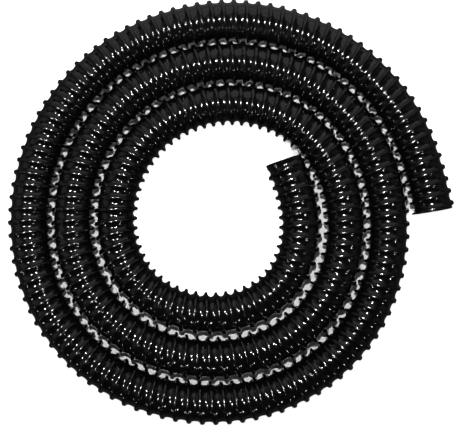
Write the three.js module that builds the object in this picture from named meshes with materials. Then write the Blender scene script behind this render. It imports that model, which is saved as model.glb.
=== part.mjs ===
// Pool and spa vacuum hose: a bare, cut length of ribbed hose that lies in a flat coil.
//
// It is made as the real one is, of two pieces. The wall is a thin film tube with an open bore,
// and the bead is a stiff strip wound round the outside of it as one unbroken helix.
//
// Millimetres, +Z up. The hose lies on Z = 0, with the middle of the coil's box at X = Y = 0.
import * as THREE from 'three';
import { mergeVertices } from 'three/addons/utils/BufferGeometryUtils.js';

// ---- The hose ---------------------------------------------------------------------------------

const boreDiameter = 38; // fits a 1-1/2 inch pool fitting
const wallThickness = 0.9;
const beadHeight = 3.5; // how far the bead stands out from the wall
const beadWidth = 3.6; // along the hose, at the foot of the bead
const beadTurns = 200; // about this many; the real hose has about 248
const beadSetback = 4; // from each cut end of the wall to the end of the bead
const weldGap = 0.35; // clearance between the bead's foot and the wall
const restFlat = 0.5; // depth of the flat on the underside of each rib, which the hose rests on

// ---- The coil ---------------------------------------------------------------------------------

const coilTurns = 3.113;
const innerRadius = 90.2; // of the hose's middle line, where the coil begins
const startAngle = 42.8; // degrees from +X, where the inner end lies
const turnGap = 0.7; // clearance between neighbouring turns, side by side
const frontSlack = 4; // how much wider the turns lie towards -Y, where they were laid loosely
const tipGap = 0.5; // clearance of the inner end's wall, which leans on the wall of the next turn
const tipBearing = 5.4; // from the edge of the inner end to the middle of where it leans on that turn
const innerStretch = 26; // how much of the inner end leans out
const outerLean = 3; // how far the tip of the outer end leans out
const outerStretch = 60; // how much of the outer end leans out

// The coil was laid by hand, so it isn't quite round. Each wave pushes it out and in again this
// many times in a circle, by this much, and is furthest out at this angle from +X in degrees.
const coilWaves = [
  { count: 2, push: 1.9, angle: 57 },
  { count: 3, push: 0.8, angle: -47 },
  { count: 4, push: 0.8, angle: 40 },
];

// ---- Facets -----------------------------------------------------------------------------------

const sides = 8; // flats round the hose, two of them level, two upright
const wallSag = 0.45; // how far a straight facet of the wall may stray from the true bend
const weldDistance = 1e-5; // corners nearer than this are one corner
const measureStep = 1; // along the hose, between the places where a bend or a gap is measured

// ---- Worked out from the sizes above ----------------------------------------------------------

const boreRadius = boreDiameter / 2;
const wallRadius = boreRadius + wallThickness;
const hoseRadius = wallRadius + beadHeight;
const beadFootRadius = wallRadius + weldGap + wallSag;
const hoseHeight = hoseRadius - restFlat; // of the hose's middle line above the ground
const turnPitch = 2 * hoseRadius + turnGap;
const cornerReach = 1 / Math.cos(Math.PI / sides); // a facet's corner against its middle

// Both ends run nearly straight, so their tips lean out of the spiral. The inner one leans until
// its wall meets the wall of the next turn, between two ribs. The bead begins behind that place,
// on top of the hose.
const innerLean = turnPitch - 2 * wallRadius - tipGap;
const innerTurnLength = 2 * Math.PI * innerRadius;
const outerTurnLength = 2 * Math.PI * (innerRadius + coilTurns * turnPitch);
const beadStartCorner = 1; // of the hose's section, counted from outwards over the top

const up = new THREE.Vector3(0, 0, 1);

// How far the inner end leans out of the spiral, as a share of its tip's lean, at a distance from
// the tip counted in stretches. Past one stretch it lies a little inside the spiral, then on it.
function innerLeanShare(stretches) {
  return (1 - stretches) * Math.exp(-stretches / 1.5);
}

// The outer end has room to lean, so it just bends less over its last stretch.
function outerLeanShare(stretches) {
  return Math.max(0, 1 - stretches) ** 2;
}

// The middle line of the hose: a spiral that runs clockwise from the inner end to the outer one.
class CoilRoute extends THREE.Curve {
  getPoint(along, target = new THREE.Vector3()) {
    const turns = along * coilTurns;
    const angle = THREE.MathUtils.degToRad(startAngle) - 2 * Math.PI * turns;
    const front = (1 - Math.sin(angle)) / 2; // 0 towards +Y, 1 towards -Y
    let radius = innerRadius + turns * (turnPitch + frontSlack * front);
    for (const wave of coilWaves) {
      radius += wave.push * Math.cos(wave.count * (angle - THREE.MathUtils.degToRad(wave.angle)));
    }
    radius += innerLean * innerLeanShare(turns * innerTurnLength / innerStretch);
    radius += outerLean * outerLeanShare((coilTurns - turns) * outerTurnLength / outerStretch);
    return target.set(radius * Math.cos(angle), radius * Math.sin(angle), hoseHeight);
  }
}

const route = new CoilRoute();
route.arcLengthDivisions = 2000;
const hoseLength = route.getLength();

// A point of the hose, this far along it, turned this much from outwards towards up, and this
// far out from its middle line, measured to the flats of its section.
function hosePoint(distance, turned, flatRadius) {
  const along = THREE.MathUtils.clamp(distance / hoseLength, 0, 1);
  const forward = route.getTangentAt(along);
  const outward = new THREE.Vector3().crossVectors(up, forward);
  const reach = flatRadius * cornerReach;
  return route.getPointAt(along)
    .addScaledVector(outward, reach * Math.cos(turned))
    .addScaledVector(up, reach * Math.sin(turned));
}

// The corners of the hose's section stand half a facet off, which keeps two flats level.
function cornerAngle(corner) {
  return (corner + 0.5) * 2 * Math.PI / sides;
}

// ---- Solids from rings of points --------------------------------------------------------------

// Joins rings of equally many points into one closed body. A looped body runs from its last
// ring back to its first, and any other is closed at both ends.
function joinRings(rings, looped) {
  const corners = [];
  const addTriangle = (a, b, c) => {
    if (a.equals(b) || b.equals(c) || c.equals(a)) return; // where two points of a ring meet
    corners.push(...a.toArray(), ...b.toArray(), ...c.toArray());
  };
  const size = rings[0].length;
  const bands = looped ? rings.length : rings.length - 1;
  for (let band = 0; band < bands; band++) {
    const near = rings[band];
    const far = rings[(band + 1) % rings.length];
    for (let point = 0; point < size; point++) {
      const next = (point + 1) % size;
      addTriangle(near[point], near[next], far[next]);
      addTriangle(near[point], far[next], far[point]);
    }
  }
  if (!looped) {
    const first = rings[0];
    const last = rings[rings.length - 1];
    for (let point = 1; point < size - 1; point++) {
      addTriangle(first[0], first[point + 1], first[point]);
      addTriangle(last[0], last[point], last[point + 1]);
    }
  }
  const geometry = new THREE.BufferGeometry();
  geometry.setAttribute('position', new THREE.Float32BufferAttribute(corners, 3));
  const welded = mergeVertices(geometry, weldDistance);
  welded.computeVertexNormals();
  return welded;
}

// ---- The film wall, with its open bore --------------------------------------------------------

// How the hose bends at a place, as the radius of its middle line.
function bendRadius(distance) {
  const middle = THREE.MathUtils.clamp(distance, measureStep, hoseLength - measureStep);
  const before = route.getTangentAt((middle - measureStep) / hoseLength);
  const after = route.getTangentAt((middle + measureStep) / hoseLength);
  return 2 * measureStep / before.angleTo(after);
}

// Places along the hose where the wall has a ring: closer together where it bends more, so that
// no facet strays further than wallSag from the bend.
function wallStations() {
  const stations = [0];
  let distance = 0;
  while (distance < hoseLength) {
    const tightest = Math.min(bendRadius(distance), bendRadius(distance + hoseRadius));
    distance += Math.sqrt(8 * wallSag * tightest);
    stations.push(Math.min(distance, hoseLength));
  }
  return stations;
}

function wallRing(distance, radius) {
  return Array.from({ length: sides }, (_, corner) => hosePoint(distance, cornerAngle(corner), radius));
}

// The rings run out along the outside of the film and back along its bore.
function wallGeometry() {
  const stations = wallStations();
  const outside = stations.map((distance) => wallRing(distance, wallRadius));
  const bore = stations.map((distance) => wallRing(distance, boreRadius)).reverse();
  return joinRings([...outside, ...bore], true);
}

// ---- The helical bead -------------------------------------------------------------------------

// The bead's section where it passes one corner of the hose: its foot on the wall and its crest.
// Below the hose the crest is cut off level, so there the section has two crest points, and
// everywhere else they are one.
function beadRing(distance, corner) {
  const turned = cornerAngle(corner);
  const back = hosePoint(distance - beadWidth / 2, turned, beadFootRadius);
  const front = hosePoint(distance + beadWidth / 2, turned, beadFootRadius);
  const crest = hosePoint(distance, turned, hoseRadius);
  const cut = crest.z < 0 ? restFlat / (hoseRadius - beadFootRadius) : 0;
  const crestBack = crest.clone().lerp(back, cut);
  const crestFront = crest.clone().lerp(front, cut);
  return [back, front, crestFront, crestBack];
}

// How far along the hose the edge of the tip meets it again, one turn of the coil further on.
function tipRestDistance() {
  const tip = hosePoint(0, 0, wallRadius);
  const longestTurn = innerTurnLength + 2 * Math.PI * turnPitch;
  let rest = innerTurnLength;
  let nearest = Infinity;
  for (let distance = innerTurnLength; distance < longestTurn; distance += measureStep) {
    const gap = tip.distanceTo(route.getPointAt(distance / hoseLength));
    if (gap < nearest) {
      nearest = gap;
      rest = distance;
    }
  }
  return rest;
}

// Where the bead begins, and how far it runs forward in one turn round the hose. The pitch is
// set so that two ribs of the next turn of the coil straddle the tip that leans on it.
function beadLayout() {
  const start = beadSetback + beadWidth / 2;
  const valley = tipRestDistance() + tipBearing - start;
  const inwardTurn = 0.5 - (beadStartCorner + 0.5) / sides; // from the start to facing inwards
  const wholeTurns = Math.round(valley * beadTurns / hoseLength - inwardTurn - 0.5);
  return { start, pitch: valley / (wholeTurns + 0.5 + inwardTurn) };
}

function beadRings() {
  const { start, pitch } = beadLayout();
  const end = hoseLength - beadSetback - beadWidth / 2;
  const rings = [];
  for (let distance = start; distance <= end; distance += pitch / sides) {
    rings.push(beadRing(distance, beadStartCorner + rings.length));
  }
  return rings;
}

function beadGeometry() {
  return joinRings(beadRings(), false);
}

// ---- The least gap between one turn of the coil and the next ----------------------------------

// Measured between points of the bead's crest and of the wall's upright sides.
function leastGap() {
  const { start, pitch } = beadLayout();
  const places = [];
  const crests = beadRings().map((ring) => ring[2]);
  for (let step = 0; step < crests.length - 1; step++) {
    for (const share of [0, 0.25, 0.5, 0.75]) {
      const point = crests[step].clone().lerp(crests[step + 1], share);
      places.push({ point, distance: start + (step + share) * pitch / sides });
    }
  }
  for (let distance = 0; distance < hoseLength; distance += 4 * measureStep) {
    for (const side of [0, Math.PI]) {
      const low = hosePoint(distance, side - Math.PI / sides, wallRadius);
      const high = hosePoint(distance, side + Math.PI / sides, wallRadius);
      for (const share of [0, 0.5, 1]) {
        places.push({ point: low.clone().lerp(high, share), distance });
      }
    }
  }
  const sameStretch = 4 * hoseRadius; // points nearer than this along the hose are neighbours
  let least = Infinity;
  for (const one of places) {
    for (const other of places) {
      if (other.distance - one.distance > sameStretch) {
        least = Math.min(least, one.point.distanceToSquared(other.point));
      }
    }
  }
  return Math.sqrt(least);
}

console.log(`hose ${hoseLength.toFixed(0)} mm long, least gap to itself ${leastGap().toFixed(2)} mm`);

// ---- The hose ---------------------------------------------------------------------------------

const filmBlack = new THREE.MeshStandardMaterial({ color: 0x101011, roughness: 0.2, metalness: 0 });
const beadBlack = new THREE.MeshStandardMaterial({ color: 0x0b0b0c, roughness: 0.14, metalness: 0 });

const wall = new THREE.Mesh(wallGeometry(), filmBlack);
wall.name = 'hose_wall';

const bead = new THREE.Mesh(beadGeometry(), beadBlack);
bead.name = 'helix_bead';

const hose = new THREE.Group();
hose.add(wall, bead);

// The spiral's own centre isn't the middle of the coil, so the hose is moved there.
const middle = new THREE.Box3().setFromObject(hose).getCenter(new THREE.Vector3());
hose.position.set(-middle.x, -middle.y, 0);
hose.updateMatrixWorld(true);

export default hose;
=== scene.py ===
"""Dresses a coiled pool and spa vacuum hose: the film wall, the bead wound round it, and the stage.

The hose is a bare, cut length. Its middle line is a flat spiral, the same one that the packed
solids follow, and the film and the bead are both swept along it. Metres, +Z up.
"""

import math

import bpy
import numpy as np
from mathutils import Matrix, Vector


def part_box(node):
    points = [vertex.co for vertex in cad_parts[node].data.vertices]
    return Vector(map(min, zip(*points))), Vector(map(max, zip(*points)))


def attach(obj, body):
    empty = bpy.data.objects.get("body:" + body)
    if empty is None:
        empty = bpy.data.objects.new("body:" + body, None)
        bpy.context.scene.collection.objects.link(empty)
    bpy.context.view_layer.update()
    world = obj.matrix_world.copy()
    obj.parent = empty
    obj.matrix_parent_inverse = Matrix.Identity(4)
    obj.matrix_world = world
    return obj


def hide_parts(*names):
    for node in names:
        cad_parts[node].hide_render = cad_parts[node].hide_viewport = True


bl_info = {
    "name": "Vacuum Hose Coil",
    "version": (1, 0, 0),
    "blender": (4, 5, 0),
    "location": "3D View > Sidebar > Hose",
    "description": "Models a coiled pool and spa vacuum hose and the stage it lies on",
    "category": "Object",
}

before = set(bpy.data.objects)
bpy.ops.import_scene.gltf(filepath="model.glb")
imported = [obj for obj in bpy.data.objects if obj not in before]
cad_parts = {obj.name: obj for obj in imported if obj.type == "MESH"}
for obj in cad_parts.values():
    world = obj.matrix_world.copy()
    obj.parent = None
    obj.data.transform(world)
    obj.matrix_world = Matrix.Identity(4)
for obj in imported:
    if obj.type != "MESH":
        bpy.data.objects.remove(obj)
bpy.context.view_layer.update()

# How finely the hose is meshed.
FILM_SIDES = 26  # points round the film, and steps of the bead in one turn round it
FILM_ROWS = (0, 0.06, 0.14, 0.24, 0.36, 0.5, 0.64, 0.76, 0.86, 0.94, 1)  # from weld to weld
FILM_STEPS = len(FILM_ROWS) + 1  # rows of the film's outside from one rib to the next
BORE_STEPS = 2.5  # rings of the bore from one rib to the next
ROUTE_STEP = 0.0005  # between the points that the spiral is measured on
PATH_STEP = 0.01  # between the points that the hose's route is sampled at
CROWN_POINTS = 10  # of the bead's outline, above its weld
END_RUN = 0.06  # how far past the ends the ribs' places go on
FREE = 1.0  # room beside a turn that has no neighbour there
FILM_MARGIN = 0.0002  # from the film to the plane half way to the next turn
BEAD_MARGIN = 0.00005  # from the bead to that plane
SHARP_ANGLE = 50  # degrees between two faces, from where on their edge is left sharp
END_STRIP = 0.1  # texture coordinate at the far side of a cut end's face

# How the film and the bead are shaped.
HELD_SHARE = 0.46  # how much of the weld's width, on each side of the bead, holds the film straight
TIGHT_BEND = 0.22  # the bore's radius over the bend's, where the inner sag is as large as given
INWARD_FALL = 1.5  # a power: how fast the inner sag goes down from the inside of a bend
BEAD_SQUARENESS = 2.7  # a power: 2 is an ellipse, and more is squarer
WELD_BEVEL = 0.0001  # along the hose, at the edges of the weld's flange
WELD_SINK = 0.6  # how deep those edges go into the film, as a share of the flange's thickness
INNER_FADE = 1.5  # how slowly the inner end's lean dies away, in its stretches

# The coil was laid by hand, so it isn't quite round. Each wave pushes it out and in again this
# many times in a circle, by this much, and is furthest out at this angle from +X in degrees.
COIL_WAVES = (
    {"count": 2, "push": 0.0019, "angle": 57},
    {"count": 3, "push": 0.0008, "angle": -47},
    {"count": 4, "push": 0.0008, "angle": 40},
)

# The black plastic. Drawn lines run along the strip, with this scale across it and this height.
FILM_FINISH = {"roughness": 0.12, "line_scale": 14, "line_height": 0.00002}
BEAD_FINISH = {"roughness": 0.16, "line_scale": 3, "line_height": 0.000004}
LINE_STRETCH = 0.4  # the lines' scale along the strip
MOTTLE_SCALE = 90
MOTTLE_TINTS = (0.7, 1.5)  # times the colour, in the darkest and the lightest places
MOTTLE_GLOSS = (0.8, 1.25)  # times the roughness, in the same places

# The floor glows white to the camera where it lies open; ambient occlusion takes the glow away
# where the hose closes in, as painted shade in the gaps and at the hose's foot. A reflection sees
# a dim glow there, and at the back of the coil a brighter one, a painted reflection.
FLOOR_GLOW = 1.0
PAINTED_SHADE_REACH = 0.06  # how far round a place the floor looks for the hose, for its painted shade
PAINTED_SHADE_OPENNESS = (0.2, 0.3)  # open share of its view, below which painted shade takes the glow away, and where it is full
MIRRORED_GLOW = 0.06
# Painted reflection: a brighter floor glow that only reflections see, at the back of the coil.
PAINTED_REFLECTION_GLOW = 0.3
PAINTED_REFLECTION_Y = (0.24, 0.29)  # Y, from where to where the mirrored glow rises into the painted reflection
ROOM_GLOW = 0.012

# The lights: one small lamp beside the camera lights the floor, three far ones are only mirrored
# by the hose, as dots, and large dim panels are mirrored as soft grey. A far lamp's tilt is from
# straight up, and its bearing from +X.
NEAR_LAMP = {"place": (-0.03, 0.14, 0.92), "radius": 0.018, "power": 40}
FAR_LAMPS = (
    {"name": "lamp_left", "tilt": 18, "bearing": 184, "strength": 2.2, "spread": 1.8},
    {"name": "lamp_right", "tilt": 59, "bearing": 309, "strength": 0.5, "spread": 2.5},
    {"name": "lamp_front", "tilt": 72, "bearing": 224, "strength": 0.25, "spread": 2.5},
)
LAMP_DISTANCE = 2.0  # of the far lamps, from which only their direction counts
PANELS = (
    {"name": "panel_back", "place": (0.05, 1.0, 0.45), "power": 2.9, "wide": 1.8, "high": 0.9},
    {"name": "panel_over", "place": (-0.1, 0.95, 1.45), "power": 1.3, "wide": 1.8, "high": 0.9},
    {"name": "panel_left", "place": (-1.1, 0.1, 0.45), "power": 0.7, "wide": 1.2, "high": 0.7},
    {"name": "panel_right", "place": (1.1, 0.1, 0.45), "power": 0.25, "wide": 1.2, "high": 0.7},
)
SENSOR_WIDTH = 36  # of the camera, in millimetres


# ---- Sizes and colours that a user may change ---------------------------------------------------


class HoseSizes(bpy.types.PropertyGroup):
    """Sizes of the film and the bead."""

    bore: bpy.props.FloatProperty(
        name="Bore", description="Inside diameter of the film", default=0.038, unit="LENGTH"
    )
    wall: bpy.props.FloatProperty(
        name="Wall", description="Thickness of the film", default=0.0009, unit="LENGTH"
    )
    bead_height: bpy.props.FloatProperty(
        name="Bead Height",
        description="How far the bead's solid stands out from the film",
        default=0.0035,
        unit="LENGTH",
    )
    bead_width: bpy.props.FloatProperty(
        name="Bead Width",
        description="Width of the bead at its foot",
        default=0.0045,
        unit="LENGTH",
    )
    weld_width: bpy.props.FloatProperty(
        name="Weld Width",
        description="Width of the flange that welds the bead to the film",
        default=0.005,
        unit="LENGTH",
    )
    weld_height: bpy.props.FloatProperty(
        name="Weld Height",
        description="Thickness of the weld's flange at its edge",
        default=0.00022,
        unit="LENGTH",
    )
    rib_count: bpy.props.IntProperty(
        name="Ribs", description="Turns of the bead, from the first rib to the last", default=242
    )
    rib_slack: bpy.props.FloatProperty(
        name="Rib Slack",
        description="Share by which the ribs lie further apart towards -Y and closer towards +Y",
        default=0.044,
    )
    first_rib: bpy.props.FloatProperty(
        name="First Rib",
        description="From the inner end to the first rib, on the coil's outer side",
        default=0.0074,
        unit="LENGTH",
    )
    last_rib: bpy.props.FloatProperty(
        name="Last Rib",
        description="From the last rib to the outer end, on the coil's outer side",
        default=0.0066,
        unit="LENGTH",
    )
    outer_sag: bpy.props.FloatProperty(
        name="Outer Sag",
        description="How far the film draws in between the ribs on the outside of the bend",
        default=0.001,
        unit="LENGTH",
    )
    inner_sag: bpy.props.FloatProperty(
        name="Inner Sag",
        description="How much further it draws in on the inside of the tightest bend",
        default=0.0016,
        unit="LENGTH",
    )
    film_swell: bpy.props.FloatProperty(
        name="Film Swell",
        description="How much further out than its solid the film stands under the bead",
        default=0.002,
        unit="LENGTH",
    )
    bead_swell: bpy.props.FloatProperty(
        name="Bead Swell",
        description="How much further out than its solid the bead stands",
        default=0.0012,
        unit="LENGTH",
    )


class CoilSizes(bpy.types.PropertyGroup):
    """How the hose lies."""

    turns: bpy.props.FloatProperty(name="Turns", description="Turns of the coil", default=3.113)
    inner_radius: bpy.props.FloatProperty(
        name="Inner Radius",
        description="Radius of the middle line where the coil begins",
        default=0.0902,
        unit="LENGTH",
    )
    start_angle: bpy.props.FloatProperty(
        name="Start Angle",
        description="Where the inner end lies, from +X",
        default=math.radians(42.8),
        subtype="ANGLE",
    )
    turn_gap: bpy.props.FloatProperty(
        name="Turn Gap",
        description="Clearance between neighbouring turns",
        default=0.0007,
        unit="LENGTH",
    )
    front_slack: bpy.props.FloatProperty(
        name="Front Slack",
        description="How much wider the turns lie towards -Y",
        default=0.004,
        unit="LENGTH",
    )
    rest_flat: bpy.props.FloatProperty(
        name="Rest Flat",
        description="How far the ribs are pressed flat where the hose rests on them",
        default=0.0005,
        unit="LENGTH",
    )
    tip_gap: bpy.props.FloatProperty(
        name="Tip Gap",
        description="Clearance between the inner end's film and the film it leans on",
        default=0.0005,
        unit="LENGTH",
    )
    inner_slant: bpy.props.FloatProperty(
        name="Inner Slant",
        description="How far the inner end's cut slants, to each side of square",
        default=0.0015,
        unit="LENGTH",
    )
    inner_stretch: bpy.props.FloatProperty(
        name="Inner Stretch",
        description="How much of the inner end leans out",
        default=0.026,
        unit="LENGTH",
    )
    outer_lean: bpy.props.FloatProperty(
        name="Outer Lean",
        description="How far the tip of the outer end leans out",
        default=0.003,
        unit="LENGTH",
    )
    outer_stretch: bpy.props.FloatProperty(
        name="Outer Stretch",
        description="How much of the outer end leans out",
        default=0.06,
        unit="LENGTH",
    )


class HoseColours(bpy.types.PropertyGroup):
    """Colours of the hose and of the stage."""

    film: bpy.props.FloatVectorProperty(
        name="Film",
        description="Colour of the film",
        default=(0.0015, 0.0015, 0.0016),
        subtype="COLOR",
    )
    bead: bpy.props.FloatVectorProperty(
        name="Bead",
        description="Colour of the bead",
        default=(0.001, 0.001, 0.0011),
        subtype="COLOR",
    )
    floor: bpy.props.FloatVectorProperty(
        name="Floor",
        description="Colour of the floor",
        default=(0.55, 0.55, 0.55),
        subtype="COLOR",
    )


class StageSizes(bpy.types.PropertyGroup):
    """The floor and the camera."""

    floor_width: bpy.props.FloatProperty(
        name="Floor Width", description="Side of the square floor", default=4.0, unit="LENGTH"
    )
    camera_height: bpy.props.FloatProperty(
        name="Camera Height",
        description="Height of the camera above the floor",
        default=0.9,
        unit="LENGTH",
    )
    picture_width: bpy.props.FloatProperty(
        name="Picture Width",
        description="Width that the picture takes in, at the height of the hose's middle line",
        default=0.5244,
        unit="LENGTH",
    )
    picture_x: bpy.props.FloatProperty(
        name="Picture X", description="Middle of the picture", default=-0.0032, unit="LENGTH"
    )
    picture_y: bpy.props.FloatProperty(
        name="Picture Y", description="Middle of the picture", default=-0.0037, unit="LENGTH"
    )


# ---- The route of the hose ----------------------------------------------------------------------


def hose_radii(sizes):
    """Outside radius of the solid film, and of the solid hose over its ribs."""
    film = sizes.bore / 2 + sizes.wall
    return film, film + sizes.bead_height


def film_radius(sizes):
    """Outside radius of the film where the bead is welded to it."""
    return hose_radii(sizes)[0] + sizes.film_swell


def inner_lean_share(stretches):
    """The lean of the inner end as a share of its tip's, at a distance from the tip."""
    return (1 - stretches) * np.exp(-stretches / INNER_FADE)


def outer_lean_share(stretches):
    """The lean of the outer end as a share of its tip's, at a distance from the tip."""
    return np.maximum(0, 1 - stretches) ** 2


def spiral(turns, sizes, coil):
    """Points of the middle line in plan, after so many turns from the inner end."""
    film, ribs = hose_radii(sizes)
    pitch = 2 * ribs + coil.turn_gap
    angle = coil.start_angle - 2 * math.pi * turns
    front = (1 - np.sin(angle)) / 2
    radius = coil.inner_radius + turns * (pitch + coil.front_slack * front)
    for wave in COIL_WAVES:
        radius += wave["push"] * np.cos(wave["count"] * (angle - math.radians(wave["angle"])))
    inner_turn = 2 * math.pi * coil.inner_radius
    outer_turn = 2 * math.pi * (coil.inner_radius + coil.turns * pitch)
    from_inner_end = turns * inner_turn
    from_outer_end = (coil.turns - turns) * outer_turn
    inner_lean = pitch - 2 * film - coil.tip_gap
    radius += inner_lean * inner_lean_share(from_inner_end / coil.inner_stretch)
    radius += coil.outer_lean * outer_lean_share(from_outer_end / coil.outer_stretch)
    return np.stack([radius * np.cos(angle), radius * np.sin(angle)], axis=-1)


class Route:
    """The hose's middle line, measured along its length."""

    def __init__(self, sizes, coil):
        ribs = hose_radii(sizes)[1]
        self.height = ribs - coil.rest_flat
        self.slant = coil.inner_slant
        longest = 2 * math.pi * coil.turns * (coil.inner_radius + coil.turns * 2 * ribs)
        turns = np.linspace(0, coil.turns, int(longest / ROUTE_STEP))
        own = spiral(turns, sizes, coil)
        # The middle of the coil's box is the middle of the solid wall's.
        low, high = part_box("hose_wall")
        middle = np.array([low[0] + high[0], low[1] + high[1]]) / 2
        self.points = own + (middle - (own.min(axis=0) + own.max(axis=0)) / 2)
        steps = np.linalg.norm(np.diff(self.points, axis=0), axis=1)
        self.along = np.concatenate([[0], np.cumsum(steps)])
        self.length = self.along[-1]
        self.forward = np.gradient(self.points, self.along, axis=0)
        heading = np.unwrap(np.arctan2(self.forward[:, 1], self.forward[:, 0]))
        self.bend = -np.gradient(heading, self.along)
        outer = spiral(turns + 1, sizes, coil)
        inner = spiral(turns - 1, sizes, coil)
        square = np.stack([-self.forward[:, 1], self.forward[:, 0]], axis=-1)
        self.outward_room = np.abs(((outer - own) * square).sum(axis=1)) / 2
        self.inward_room = np.abs(((own - inner) * square).sum(axis=1)) / 2
        self.outward_room[turns + 1 > coil.turns] = FREE
        self.inward_room[turns - 1 < 0] = FREE
        self._number_ribs(sizes, coil, turns)

    def _number_ribs(self, sizes, coil, turns):
        """Numbers the places along the hose: ribs cross its outer side at the whole numbers."""
        spacing = 1 - sizes.rib_slack * np.sin(coil.start_angle - 2 * math.pi * turns)
        spacing = np.concatenate([spacing[:1], spacing, spacing[-1:]])
        place = np.concatenate([[-END_RUN], self.along, [self.length + END_RUN]])
        steps = np.diff(place) * (1 / spacing[1:] + 1 / spacing[:-1]) / 2
        count = np.concatenate([[0], np.cumsum(steps)])
        first, last = np.interp([sizes.first_rib, self.length - sizes.last_rib], place, count)
        self.rib_places = place
        self.rib_numbers = (count - first) / (last - first) * sizes.rib_count

    def rib_place(self, number):
        """How far along the hose a rib lies, or a share of the way from one to the next."""
        return np.interp(number, self.rib_numbers, self.rib_places)

    def rib_number(self, distance):
        """How many ribs lie before a place on the hose, with the share of the way to the next."""
        return np.interp(distance, self.rib_places, self.rib_numbers)

    def at(self, distance):
        """The middle line's point, outward direction and bend, at distances along it."""
        inside = np.clip(distance, 0, self.length)
        point = self._mix(self.points, inside)
        forward = self._mix(self.forward, inside)
        forward /= np.linalg.norm(forward, axis=-1, keepdims=True)
        point = point + forward * (distance - inside)[..., None]
        outward = np.stack([-forward[..., 1], forward[..., 0]], axis=-1)
        return point, outward, np.interp(inside, self.along, self.bend)

    def _mix(self, values, distance):
        return np.stack([np.interp(distance, self.along, values[:, i]) for i in (0, 1)], axis=-1)

    def inner_cut(self, turned):
        """How far along the hose its inner end is cut, a little aslant."""
        return self.slant * np.cos(turned)

    def cut(self, distance, turned):
        """Distances kept between the two cut ends."""
        return np.clip(distance, self.inner_cut(turned), self.length)

    def place(self, distance, turned, radius, margin=0):
        """Points of the hose, turned from outwards towards up, this far from its middle line.

        They stay this margin short of the plane half way to the next turn, where the two press
        on each other.
        """
        point, outward, _ = self.at(distance)
        outward_room = np.interp(distance, self.along, self.outward_room) - margin
        inward_room = np.interp(distance, self.along, self.inward_room) - margin
        sideways = np.clip(radius * np.cos(turned), -inward_room, outward_room)
        flat = point + outward * sideways[..., None]
        height = np.maximum(self.height + radius * np.sin(turned), 0)
        return np.concatenate([flat, height[..., None]], axis=-1)


def rib_pitch(sizes, route):
    """From one rib to the next, on average."""
    return (route.length - sizes.first_rib - sizes.last_rib) / sizes.rib_count


# ---- Meshes -------------------------------------------------------------------------------------


def new_piece(name, points, faces, coords):
    """An object of these faces, with texture coordinates for each of their corners."""
    mesh = bpy.data.meshes.new(name)
    mesh.from_pydata(points, [], faces)
    layer = mesh.uv_layers.new(name="Strip")
    layer.data.foreach_set("uv", np.asarray(coords, dtype=np.float32).ravel())
    mesh.update()
    piece = bpy.data.objects.new(name, mesh)
    bpy.context.scene.collection.objects.link(piece)
    return piece


def mesh_from_rings(name, rings, strip):
    """A closed mesh through rings of equally many points, with a face over each end.

    strip holds a pair of texture coordinates for each point, with one more column than a ring
    has points, for the seam.
    """
    count, size = rings.shape[:2]
    near = np.arange(count - 1)[:, None]
    far = near + 1
    side = np.arange(size)[None, :]
    wide = side + 1
    turn = wide % size
    quads = np.stack(
        [near * size + side, near * size + turn, far * size + turn, far * size + side], axis=-1
    ).reshape(-1, 4)
    coords = np.stack(
        [strip[near, side], strip[near, wide], strip[far, wide], strip[far, side]], axis=-2
    ).reshape(-1, 2)
    faces = quads.tolist()
    faces.append(list(range(size))[::-1])
    faces.append([(count - 1) * size + i for i in range(size)])
    coords = np.concatenate([coords, strip[0, :size][::-1], strip[-1, :size]])
    return new_piece(name, rings.reshape(-1, 3).tolist(), faces, coords)


def smooth(piece):
    """Shades a piece smooth, except over its sharp edges."""
    bpy.ops.object.select_all(action="DESELECT")
    piece.select_set(True)
    bpy.context.view_layer.objects.active = piece
    bpy.ops.object.shade_smooth_by_angle(angle=math.radians(SHARP_ANGLE))
    piece.select_set(False)


class FaceList:
    """Faces by the numbers of their corners, with texture coordinates for each corner."""

    def __init__(self):
        self.faces = []
        self.coords = []

    def add(self, corners, places):
        """A face. Corners that are the same as the one before are left out."""
        kept = [i for i in range(len(corners)) if corners[i] != corners[i - 1]]
        if len(kept) >= 3:
            self.faces.append([int(corners[i]) for i in kept])
            self.coords.extend(places[i] for i in kept)

    def add_strip(self, left, right, across, along):
        """Faces between two rows of corners, up to the end of the right one.

        across is the first texture coordinate, on the left and on the right, and along the
        second one, for each corner of a row.
        """
        for k in range(len(right) - 1):
            self.add(
                (left[k], right[k], right[k + 1], left[k + 1]),
                (
                    (across[0], along[k]),
                    (across[1], along[k]),
                    (across[1], along[k + 1]),
                    (across[0], along[k + 1]),
                ),
            )


# ---- The film wall ------------------------------------------------------------------------------


def film_sag(distance, turned, sizes, route):
    """How far the film draws in: nothing at a rib, most between two, and more inside a bend."""
    pitch = rib_pitch(sizes, route)
    phase = route.rib_number(distance) - turned / (2 * math.pi)
    from_rib = (phase - np.floor(phase)) * pitch
    held = HELD_SHARE * sizes.weld_width
    share = np.clip((from_rib - held) / (pitch - 2 * held), 0, 1)
    between = 4 * share * (1 - share)
    bend = route.at(distance)[2]
    tightness = np.sqrt(np.clip(bend * sizes.bore / 2, 0, None) / TIGHT_BEND)
    inward = ((1 - np.cos(turned)) / 2) ** INWARD_FALL
    free = np.clip(np.minimum(distance, route.length - distance) / (pitch / 2), 0, 1)
    return (sizes.outer_sag + sizes.inner_sag * tightness * inward) * between * free


def film_rows(sizes, pitch):
    """Where the film's rows of points lie from one rib to the next, as shares of the pitch."""
    held = HELD_SHARE * sizes.weld_width / pitch
    return np.concatenate([[0], held + (1 - 2 * held) * np.array(FILM_ROWS)])


def film_angles():
    """Where the film's points lie, round the hose from its outer side."""
    return np.arange(FILM_SIDES) * 2 * math.pi / FILM_SIDES


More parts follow.
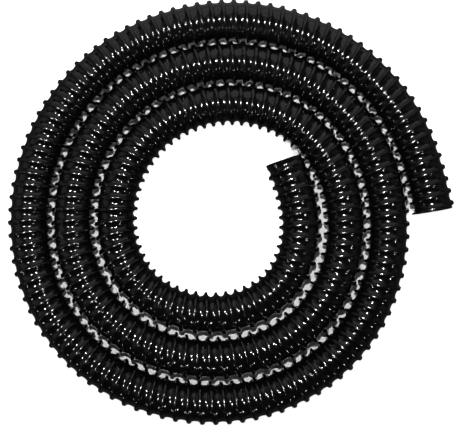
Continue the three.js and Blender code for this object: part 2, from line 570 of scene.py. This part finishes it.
def outside_grid(sizes, route):
    """Distances and turned angles of the film's outside points, in rows that follow the helix."""
    pitch = rib_pitch(sizes, route)
    rows = film_rows(sizes, pitch)
    first = -math.ceil(sizes.first_rib / pitch) - 1
    last = math.ceil((route.length - sizes.first_rib) / pitch) + 1
    turns = (np.arange(first, last)[:, None] + rows[None, :]).ravel()
    turned = film_angles()
    distance = route.rib_place(turns[:, None] + turned[None, :] / (2 * math.pi))
    return distance, np.broadcast_to(turned, distance.shape), turns


def outside_points(sizes, route):
    """Points of the film's outside, their numbers in its grid, and the rows' places.

    Rows that would pass an end all stop there, so some places of the grid share a point. A
    row's place is how many ribs lie before it.
    """
    distance, turned, turns = outside_grid(sizes, route)
    cut = route.cut(distance, turned)
    lowest = (distance < cut).sum(axis=0) - 1
    highest = len(turns) - (distance > cut).sum(axis=0)
    sag = film_sag(cut, turned, sizes, route)
    grid = route.place(cut, turned, film_radius(sizes) - sag, FILM_MARGIN)
    points = []
    index = np.zeros(cut.shape, dtype=int)
    for side in range(FILM_SIDES):
        kept = np.clip(np.arange(len(turns)), lowest[side], highest[side])
        index[:, side] = len(points) + kept - lowest[side]
        points.extend(grid[lowest[side] : highest[side] + 1, side].tolist())
    return points, index, turns


def bore_points(sizes, route):
    """Rings of points of the film's inside, from the inner end to the outer one."""
    count = int(route.length / rib_pitch(sizes, route) * BORE_STEPS) + 1
    stations = np.linspace(0, route.length, count)
    distance, turned = np.meshgrid(stations, film_angles(), indexing="ij")
    distance[0] = route.inner_cut(turned[0])
    # The bore narrows only where the film draws in so far that its wall would be too thin.
    drawn_in = film_radius(sizes) - sizes.wall - film_sag(distance, turned, sizes, route)
    radius = np.minimum(sizes.bore / 2, drawn_in)
    return route.place(distance, turned, radius, FILM_MARGIN + sizes.wall)


def make_film(sizes, route):
    """The thin film tube with its open bore."""
    points, outside, turns = outside_points(sizes, route)
    rings = bore_points(sizes, route)
    count = len(rings)
    bore = len(points) + np.arange(count * FILM_SIDES).reshape(count, FILM_SIDES)
    points.extend(rings.reshape(-1, 3).tolist())

    sheet = FaceList()
    ring_places = np.arange(count, 0, -1) / BORE_STEPS
    for side in range(FILM_SIDES):
        # The rows follow the helix, so past the last side begins the row one turn further.
        shift = FILM_STEPS if side == FILM_SIDES - 1 else 0
        turn = (side + 1) % FILM_SIDES
        left, right = side / FILM_SIDES, (side + 1) / FILM_SIDES
        sheet.add_strip(outside[:, side], outside[shift:, turn], (left, right), turns)
        sheet.add_strip(bore[::-1, side], bore[::-1, turn], (left, right), ring_places)
        places = (left, 0), (right, 0), (right, END_STRIP), (left, END_STRIP)
        sheet.add((bore[0, side], bore[0, turn], outside[0, turn], outside[0, side]), places)
        sheet.add((outside[-1, side], outside[-1, turn], bore[-1, turn], bore[-1, side]), places)

    piece = new_piece("film_wall", points, sheet.faces, sheet.coords)
    smooth(piece)
    return piece


# ---- The bead -----------------------------------------------------------------------------------


def bead_section(sizes):
    """The bead's outline: along the hose, and out from the film. It starts at one weld's edge."""
    half = sizes.weld_width / 2
    thin = sizes.weld_height
    wide = sizes.bead_width / 2
    high = sizes.bead_height + sizes.bead_swell - sizes.film_swell
    arc = np.linspace(math.pi, 0, CROWN_POINTS + 2)[1:-1]
    fullness = 2 / BEAD_SQUARENESS
    crown = [
        (
            wide * math.copysign(abs(math.cos(a)) ** fullness, math.cos(a)),
            high * math.sin(a) ** fullness,
        )
        for a in arc
    ]
    left = [(-half, -WELD_SINK * thin), (-half + WELD_BEVEL, thin)]
    right = [(half - WELD_BEVEL, thin), (half, -WELD_SINK * thin)]
    return np.array([*left, *crown, *right])


def make_bead(sizes, route):
    """The stiff bead, one unbroken right-handed helix from end to end."""
    pitch = rib_pitch(sizes, route)
    section = bead_section(sizes)
    first = -(sizes.first_rib - sizes.weld_width / 2) / pitch
    last = sizes.rib_count + (sizes.last_rib + sizes.bead_width / 2) / pitch
    steps = int((last - first) * FILM_SIDES)
    turns = first + np.arange(steps + 1) / FILM_SIDES
    distance = route.rib_place(turns)[:, None] + section[:, 0]
    turned = np.broadcast_to((turns * 2 * math.pi)[:, None], distance.shape)
    distance = route.cut(distance, turned)
    rings = route.place(distance, turned, film_radius(sizes) + section[:, 1], BEAD_MARGIN)
    across = np.append(np.linspace(0, 1, len(section)), 1)
    strip = np.stack(np.broadcast_arrays(turns[:, None], across[None, :]), axis=-1)
    # The rings are taken the other way round, so that the faces look outwards.
    piece = mesh_from_rings("helix_bead_round", rings[:, ::-1], strip[:, ::-1])
    smooth(piece)
    return piece


# ---- Materials ----------------------------------------------------------------------------------


class Shader:
    """A material's nodes, added and linked by name."""

    def __init__(self, name):
        self.material = bpy.data.materials.new(name)
        self.material.use_nodes = True
        self.tree = self.material.node_tree
        self.surface = self.tree.nodes["Principled BSDF"]

    def add(self, kind, inputs=None, **settings):
        """A new node. Each input is either linked to another node's output or set."""
        node = self.tree.nodes.new(kind)
        for key, value in settings.items():
            setattr(node, key, value)
        for key, value in (inputs or {}).items():
            if isinstance(value, bpy.types.NodeSocket):
                self.tree.links.new(value, node.inputs[key])
            else:
                node.inputs[key].default_value = value
        return node

    def link(self, socket, name):
        """Links an output to one of the surface's inputs."""
        self.tree.links.new(socket, self.surface.inputs[name])


def black_plastic(name, colour, roughness, line_scale, line_height):
    """Glossy black extruded plastic: faint drawn lines along the strip, and a slight mottle."""
    shader = Shader(name)
    surface = shader.surface
    surface.inputs["IOR"].default_value = 1.5
    surface.inputs["Specular IOR Level"].default_value = 0.5
    place = shader.add("ShaderNodeTexCoord")
    strip = shader.add("ShaderNodeUVMap", uv_map="Strip")
    mottle = shader.add(
        "ShaderNodeTexNoise",
        {"Vector": place.outputs["Object"], "Scale": MOTTLE_SCALE, "Detail": 3},
    )
    tint = shader.add("ShaderNodeMix", {"Factor": mottle.outputs["Fac"]}, data_type="RGBA")
    for socket, share in zip(("A", "B"), MOTTLE_TINTS):
        tint.inputs[socket].default_value = (*(share * c for c in colour), 1)
    shader.link(tint.outputs["Result"], "Base Color")
    gloss = shader.add(
        "ShaderNodeMapRange",
        {
            "Value": mottle.outputs["Fac"],
            "To Min": roughness * MOTTLE_GLOSS[0],
            "To Max": roughness * MOTTLE_GLOSS[1],
        },
    )
    shader.link(gloss.outputs["Result"], "Roughness")
    stretched = shader.add(
        "ShaderNodeMapping",
        {"Vector": strip.outputs["UV"], "Scale": (LINE_STRETCH, line_scale, 1)},
    )
    lines = shader.add(
        "ShaderNodeTexNoise", {"Vector": stretched.outputs["Vector"], "Scale": 1, "Detail": 2}
    )
    bump = shader.add(
        "ShaderNodeBump",
        {"Height": lines.outputs["Fac"], "Strength": 1, "Distance": line_height},
    )
    shader.link(bump.outputs["Normal"], "Normal")
    return shader.material


def white_floor(colour):
    """A plain floor that renders white in the open, and dark in the gaps between the turns.

    The glow is for the camera, and ambient occlusion fades it where the hose closes in on the
    floor, as painted shade in the gaps and at the hose's foot. A reflection sees a dim glow in the
    open, rising to a brighter painted reflection at the back of the coil, and in the gaps what the
    lamps light there.
    """
    shader = Shader("floor_white")
    shader.surface.inputs["Base Color"].default_value = (*colour, 1)
    shader.surface.inputs["Roughness"].default_value = 0.9
    shader.surface.inputs["Specular IOR Level"].default_value = 0
    ray = shader.add("ShaderNodeLightPath")
    # Painted shade: the hose's ambient occlusion takes the floor's glow away in the gaps and at its
    # foot.
    painted_shade_occlusion = shader.add("ShaderNodeAmbientOcclusion", {"Distance": PAINTED_SHADE_REACH}, samples=32)
    free = shader.add(
        "ShaderNodeMapRange",
        {
            "Value": painted_shade_occlusion.outputs["AO"],
            "From Min": PAINTED_SHADE_OPENNESS[0],
            "From Max": PAINTED_SHADE_OPENNESS[1],
        },
        interpolation_type="SMOOTHSTEP",
    )
    # The camera's glow, with the painted shade cut out of it.
    camera_glow_with_painted_shade = shader.add(
        "ShaderNodeMath",
        {0: ray.outputs["Is Camera Ray"], 1: free.outputs["Result"]},
        operation="MULTIPLY",
    )
    strength = shader.add(
        "ShaderNodeMath", {0: camera_glow_with_painted_shade.outputs[0], 1: FLOOR_GLOW}, operation="MULTIPLY"
    )
    shader.surface.inputs["Emission Color"].default_value = (1, 1, 1, 1)
    shader.link(strength.outputs[0], "Emission Strength")
    mirrored = shader.add(
        "ShaderNodeMath",
        {0: ray.outputs["Is Glossy Ray"], 1: ray.outputs["Is Transmission Ray"]},
        operation="MAXIMUM",
    )
    # Reflections see the dim glow only outside the painted shade.
    mirrored_outside_painted_shade = shader.add(
        "ShaderNodeMath",
        {0: mirrored.outputs[0], 1: free.outputs["Result"]},
        operation="MULTIPLY",
    )
    # Painted reflection: the glow that reflections see grows brighter towards +Y, at the back of
    # the coil.
    place = shader.add("ShaderNodeTexCoord")
    split = shader.add("ShaderNodeSeparateXYZ", {0: place.outputs["Object"]})
    painted_reflection_strength = shader.add(
        "ShaderNodeMapRange",
        {
            "Value": split.outputs["Y"],
            "From Min": PAINTED_REFLECTION_Y[0],
            "From Max": PAINTED_REFLECTION_Y[1],
            "To Min": MIRRORED_GLOW,
            "To Max": PAINTED_REFLECTION_GLOW,
        },
    )
    # The glow that reflections see: dim in the open, and the painted reflection at the back of the
    # coil.
    dim = shader.add("ShaderNodeEmission", {"Strength": painted_reflection_strength.outputs["Result"]})
    mixed = shader.add(
        "ShaderNodeMixShader",
        {0: mirrored_outside_painted_shade.outputs[0], 1: shader.surface.outputs[0], 2: dim.outputs[0]},
    )
    output = shader.tree.nodes["Material Output"]
    shader.tree.links.new(mixed.outputs[0], output.inputs["Surface"])
    return shader.material


# ---- The stage ----------------------------------------------------------------------------------


def add_light(kind, name, place, energy, **settings):
    """A light that points at the middle of the coil."""
    lamp = bpy.data.lights.new(name, kind)
    lamp.energy = energy
    for key, value in settings.items():
        setattr(lamp, key, value)
    light = bpy.data.objects.new(name, lamp)
    bpy.context.scene.collection.objects.link(light)
    light.location = place
    light.rotation_euler = (-Vector(place)).to_track_quat("-Z", "Y").to_euler()
    return light


def from_zenith(tilt, bearing):
    """A far lamp's place, tilted from straight up towards a bearing from +X."""
    tilt = math.radians(tilt)
    bearing = math.radians(bearing)
    side = LAMP_DISTANCE * math.sin(tilt)
    return (side * math.cos(bearing), side * math.sin(bearing), LAMP_DISTANCE * math.cos(tilt))


def light_world():
    """A dim room, white to the camera."""
    world = bpy.data.worlds.new("studio")
    bpy.context.scene.world = world
    world.use_nodes = True
    nodes = world.node_tree.nodes
    links = world.node_tree.links
    nodes.clear()
    ray = nodes.new("ShaderNodeLightPath")
    room = nodes.new("ShaderNodeBackground")
    room.inputs["Color"].default_value = (1, 1, 1, 1)
    room.inputs["Strength"].default_value = ROOM_GLOW
    backdrop = nodes.new("ShaderNodeBackground")
    backdrop.inputs["Color"].default_value = (1, 1, 1, 1)
    backdrop.inputs["Strength"].default_value = 1
    mixed = nodes.new("ShaderNodeMixShader")
    out = nodes.new("ShaderNodeOutputWorld")
    links.new(ray.outputs["Is Camera Ray"], mixed.inputs["Fac"])
    links.new(room.outputs[0], mixed.inputs[1])
    links.new(backdrop.outputs[0], mixed.inputs[2])
    links.new(mixed.outputs[0], out.inputs["Surface"])


# ---- Operators ----------------------------------------------------------------------------------


class HOSE_OT_stage(bpy.types.Operator):
    """Adds the camera, the floor, the lights and the room"""

    bl_idname = "hose.stage"
    bl_label = "Stage"

    def execute(self, context):
        scene = context.scene
        stage = scene.hose_stage
        scene.view_settings.view_transform = "Standard"
        bpy.ops.object.select_all(action="DESELECT")

        lens = bpy.data.cameras.new("camera")
        camera = bpy.data.objects.new("camera", lens)
        scene.collection.objects.link(camera)
        middle = hose_radii(scene.hose_sizes)[1]
        camera.location = (stage.picture_x, stage.picture_y, stage.camera_height)
        camera.rotation_euler = (0, 0, 0)  # straight down, with +Y at the top of the picture
        lens.sensor_width = SENSOR_WIDTH
        lens.lens = lens.sensor_width * (stage.camera_height - middle) / stage.picture_width
        scene.camera = camera

        bpy.ops.mesh.primitive_plane_add(size=stage.floor_width, location=(0, 0, 0))
        floor = context.active_object
        floor.name = "floor"
        floor.data.materials.append(white_floor(scene.hose_colours.floor))
        floor.select_set(False)

        add_light(
            "POINT",
            "lamp_near",
            NEAR_LAMP["place"],
            NEAR_LAMP["power"],
            shadow_soft_size=NEAR_LAMP["radius"],
        )
        for lamp in FAR_LAMPS:
            light = add_light(
                "SUN",
                lamp["name"],
                from_zenith(lamp["tilt"], lamp["bearing"]),
                lamp["strength"],
                angle=math.radians(lamp["spread"]),
            )
            light.visible_diffuse = False
        for panel in PANELS:
            add_light(
                "AREA",
                panel["name"],
                panel["place"],
                panel["power"],
                shape="RECTANGLE",
                size=panel["wide"],
                size_y=panel["high"],
            )
        light_world()
        return {"FINISHED"}


class HOSE_OT_film(bpy.types.Operator):
    """Makes the film wall, with its open bore"""

    bl_idname = "hose.film"
    bl_label = "Film Wall"

    def execute(self, context):
        scene = context.scene
        sizes = scene.hose_sizes
        route = Route(sizes, scene.hose_coil)
        film = make_film(sizes, route)
        film.data.materials.append(
            black_plastic("film_black", scene.hose_colours.film, **FILM_FINISH)
        )
        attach(film, "root")
        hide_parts("hose_wall")
        return {"FINISHED"}


class HOSE_OT_bead(bpy.types.Operator):
    """Makes the bead, wound round the film as one helix"""

    bl_idname = "hose.bead"
    bl_label = "Helix Bead"

    def execute(self, context):
        scene = context.scene
        sizes = scene.hose_sizes
        route = Route(sizes, scene.hose_coil)
        bead = make_bead(sizes, route)
        bead.data.materials.append(
            black_plastic("bead_black", scene.hose_colours.bead, **BEAD_FINISH)
        )
        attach(bead, "root")
        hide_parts("helix_bead")
        return {"FINISHED"}


class HOSE_OT_declare(bpy.types.Operator):
    bl_idname = "hose.declare"
    bl_label = "Declare Hose"

    def execute(self, context):
        scene = context.scene
        sizes = scene.hose_sizes
        route = Route(sizes, scene.hose_coil)
        stations = np.linspace(0, route.length, int(route.length / PATH_STEP) + 1)
        zeros = np.zeros_like(stations)
        path = route.place(stations, zeros, zeros)
        return {"FINISHED"}


class HOSE_PT_build(bpy.types.Panel):
    """Lists the steps that make the hose and its stage"""

    bl_idname = "HOSE_PT_build"
    bl_label = "Vacuum Hose"
    bl_space_type = "VIEW_3D"
    bl_region_type = "UI"
    bl_category = "Hose"

    def draw(self, context):
        layout = self.layout
        for operator in OPERATORS:
            layout.operator(operator.bl_idname)
        for name, group in GROUPS.items():
            box = layout.box()
            box.label(text=group.__doc__)
            for prop in group.__annotations__:
                box.prop(getattr(context.scene, name), prop)


OPERATORS = (HOSE_OT_stage, HOSE_OT_film, HOSE_OT_bead, HOSE_OT_declare)
GROUPS = {
    "hose_sizes": HoseSizes,
    "hose_coil": CoilSizes,
    "hose_colours": HoseColours,
    "hose_stage": StageSizes,
}


def register():
    for cls in (*GROUPS.values(), *OPERATORS, HOSE_PT_build):
        bpy.utils.register_class(cls)
    for name, group in GROUPS.items():
        setattr(bpy.types.Scene, name, bpy.props.PointerProperty(type=group))


def unregister():
    for name in GROUPS:
        delattr(bpy.types.Scene, name)
    for cls in (HOSE_PT_build, *reversed(OPERATORS), *reversed(list(GROUPS.values()))):
        bpy.utils.unregister_class(cls)


def main():
    register()
    bpy.ops.object.select_all(action="DESELECT")
    bpy.ops.hose.stage()
    bpy.ops.hose.film()
    bpy.ops.hose.bead()
    bpy.ops.hose.declare()


if __name__ == "__main__":
    main()
